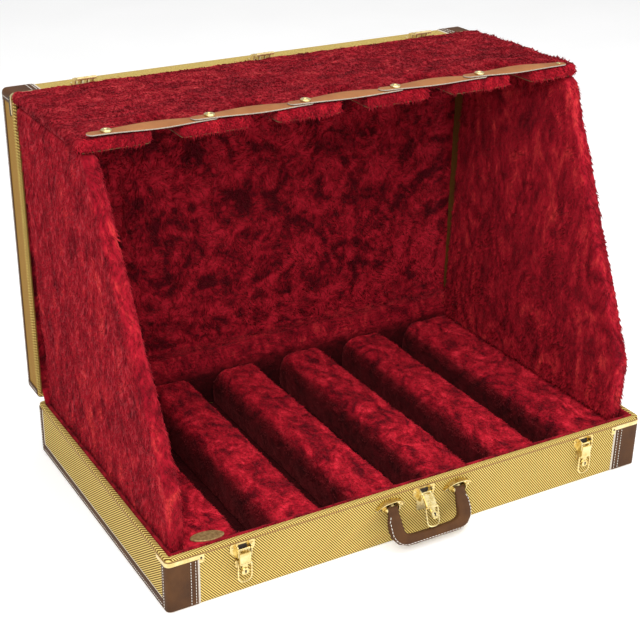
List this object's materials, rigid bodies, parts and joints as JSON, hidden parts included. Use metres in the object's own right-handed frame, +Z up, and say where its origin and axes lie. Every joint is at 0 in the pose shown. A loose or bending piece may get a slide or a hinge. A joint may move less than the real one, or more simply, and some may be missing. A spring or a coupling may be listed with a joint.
{
  "type": "guitar case",
  "caption": "Suitcase-style tweed stage case opened into an upright rack: plush-lined base with body slots, folding side panels, hinged lid and a notched, strapped top panel.",
  "frame": {"origin": "centre of the footprint's bounding box, on the base's underside", "axes": "+X along the case to its right end, +Y to the back where the lid stands, +Z up"},
  "size_m": [0.8026, 0.5632, 0.5912],
  "materials": {
    "tweed": "diagonal-striped tweed glued over a thin board shell",
    "plush": "crimson long-pile plush lining",
    "cushion": "crimson plush over soft foam",
    "plush_board": "crimson plush over a light board",
    "leather": "dark brown leather with white stitching",
    "brass": "polished brass plating",
    "strap": "tan leather with pale cut edges"
  },
  "bodies": {
    "base": {"base_shell": "tweed", "base_rim": "tweed", "base_lining": "plush", "divider_1": "cushion", "divider_2": "cushion", "divider_3": "cushion", "divider_4": "cushion", "edge_pad_left": "cushion", "edge_pad_right": "cushion", "base_corner_front_left": "leather", "base_corner_front_right": "leather", "base_corner_back_left": "leather", "base_corner_back_right": "leather", "base_binding_left": "leather", "base_binding_right": "leather", "base_clamp_left": "brass", "base_clamp_right": "brass", "hinge_base_leaf": "brass", "hinge_cloth": "plush", "badge": "brass", "latch_plate_left": "brass", "latch_plate_centre": "brass", "latch_plate_right": "brass", "handle_plate_left": "brass", "handle_plate_right": "brass"},
    "lid": {"lid_shell": "tweed", "lid_lining": "plush", "lid_corner_top_left": "leather", "lid_corner_top_right": "leather", "lid_corner_bottom_left": "leather", "lid_corner_bottom_right": "leather", "lid_clamp_left": "brass", "lid_clamp_right": "brass", "lid_binding_left": "leather", "lid_binding_right": "leather", "catch_left": "brass", "catch_centre": "brass", "catch_right": "brass", "hinge_lid_leaf": "brass"},
    "top_panel": {"top_panel": "plush_board"},
    "strap_1": {"strap_1": "strap", "snap_cap_1": "brass"},
    "strap_2": {"strap_2": "strap", "snap_cap_2": "brass"},
    "strap_3": {"strap_3": "strap", "snap_cap_3": "brass"},
    "strap_4": {"strap_4": "strap", "snap_cap_4": "brass"},
    "strap_5": {"strap_5": "strap", "snap_cap_5": "brass", "end_rivet": "brass"},
    "side_panel_left": {"side_panel_left": "plush_board"},
    "side_panel_right": {"side_panel_right": "plush_board"},
    "lever_left": {"lever_left": "brass"},
    "bail_left": {"bail_left": "brass"},
    "lever_centre": {"lever_centre": "brass"},
    "bail_centre": {"bail_centre": "brass"},
    "lever_right": {"lever_right": "brass"},
    "bail_right": {"bail_right": "brass"},
    "handle": {"handle": "leather"}
  },
  "joints": [
    {"name": "lid_hinge", "type": "hinge", "parent": "base", "child": "lid", "pos_m": [0, 0.24334, 0.08925], "axis": [-1, 0, 0], "range_deg": [0, 15]},
    {"name": "top_panel_hinge", "type": "hinge", "parent": "lid", "child": "top_panel", "pos_m": [0, 0.23809, 0.581], "axis": [-1, 0, 0], "range_deg": [0, 30]},
    {"name": "strap_1_swing", "type": "hinge", "parent": "top_panel", "child": "strap_1", "pos_m": [-0.214, -0.01441, 0.5835], "axis": [0.0179, 0, 0.9998], "range_deg": [0, 80]},
    {"name": "strap_2_swing", "type": "hinge", "parent": "top_panel", "child": "strap_2", "pos_m": [-0.0685, -0.01441, 0.5835], "axis": [0.0179, 0, 0.9998], "range_deg": [0, 80]},
    {"name": "strap_3_swing", "type": "hinge", "parent": "top_panel", "child": "strap_3", "pos_m": [0.077, -0.01441, 0.5835], "axis": [0.0179, 0, 0.9998], "range_deg": [0, 80]},
    {"name": "strap_4_swing", "type": "hinge", "parent": "top_panel", "child": "strap_4", "pos_m": [0.2225, -0.01441, 0.5835], "axis": [0.0179, 0, 0.9998], "range_deg": [0, 80]},
    {"name": "strap_5_swing", "type": "hinge", "parent": "top_panel", "child": "strap_5", "pos_m": [0.368, -0.01441, 0.5835], "axis": [0.0179, 0, 0.9998], "range_deg": [0, 80]},
    {"name": "left_panel_fold", "type": "hinge", "parent": "base", "child": "side_panel_left", "pos_m": [-0.3628, 0.00559, 0.0722], "axis": [0, 1, 0], "range_deg": [0, 91.7]},
    {"name": "right_panel_fold", "type": "hinge", "parent": "base", "child": "side_panel_right", "pos_m": [0.3628, 0.00559, 0.0722], "axis": [0, -1, 0], "range_deg": [0, 86]},
    {"name": "lever_left_swing", "type": "hinge", "parent": "base", "child": "lever_left", "pos_m": [-0.29, -0.25041, 0.07], "axis": [-1, 0, 0], "range_deg": [0, 75]},
    {"name": "bail_left_swing", "type": "hinge", "parent": "lever_left", "child": "bail_left", "pos_m": [-0.29, -0.25241, 0.0485], "axis": [-1, 0, 0], "range_deg": [0, 110]},
    {"name": "lever_centre_swing", "type": "hinge", "parent": "base", "child": "lever_centre", "pos_m": [0, -0.25041, 0.07], "axis": [-1, 0, 0], "range_deg": [0, 33]},
    {"name": "bail_centre_swing", "type": "hinge", "parent": "lever_centre", "child": "bail_centre", "pos_m": [0, -0.26628, 0.05536], "axis": [-1, 0, 0], "range_deg": [0, 100]},
    {"name": "lever_right_swing", "type": "hinge", "parent": "base", "child": "lever_right", "pos_m": [0.29, -0.25041, 0.07], "axis": [-1, 0, 0], "range_deg": [0, 75]},
    {"name": "bail_right_swing", "type": "hinge", "parent": "lever_right", "child": "bail_right", "pos_m": [0.29, -0.25241, 0.0485], "axis": [-1, 0, 0], "range_deg": [0, 110]},
    {"name": "handle_swing", "type": "hinge", "parent": "base", "child": "handle", "pos_m": [0, -0.25241, 0.062], "axis": [-1, 0, 0], "range_deg": [-10, 68]}
  ]
}
